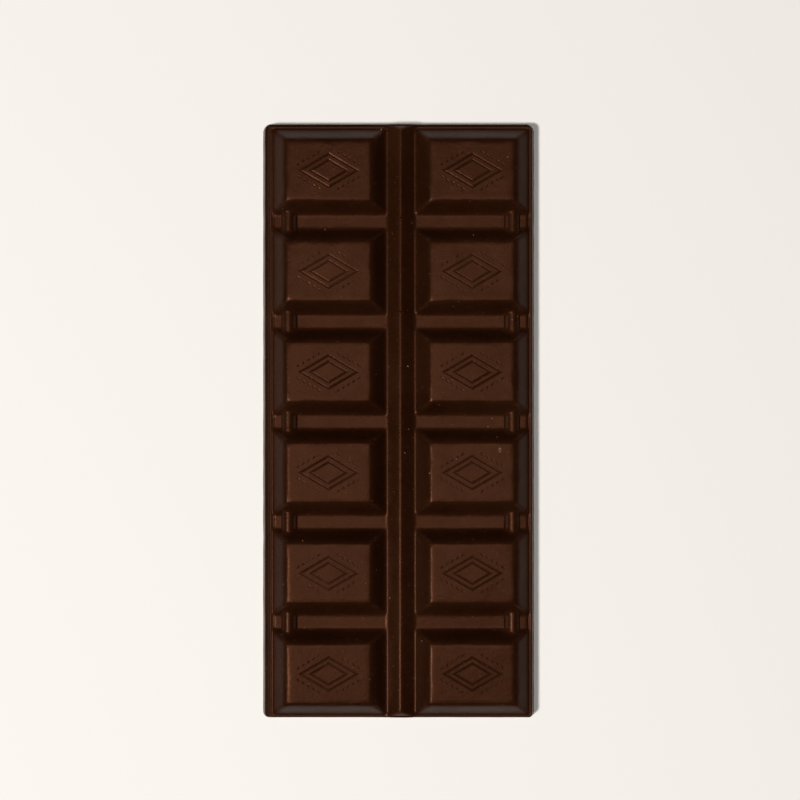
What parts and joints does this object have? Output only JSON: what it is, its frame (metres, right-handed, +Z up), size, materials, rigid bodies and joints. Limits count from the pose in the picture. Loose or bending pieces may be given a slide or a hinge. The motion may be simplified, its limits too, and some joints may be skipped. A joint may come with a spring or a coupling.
{
  "type": "chocolate bar",
  "caption": "Moulded dark chocolate bar of raised bevelled pillows with a central ridge, end beads and pressed rhombic ornament, lying on its flat back.",
  "frame": {"origin": "middle of the flat back, on the surface that the bar lies on", "axes": "+X across the bar, +Y along its length, +Z up through the patterned face"},
  "size_m": [0.073, 0.16, 0.0086],
  "materials": {
    "dark_chocolate": "satin"
  },
  "bodies": {
    "root": {"chocolate_bar": "dark_chocolate"}
  },
  "joints": []
}
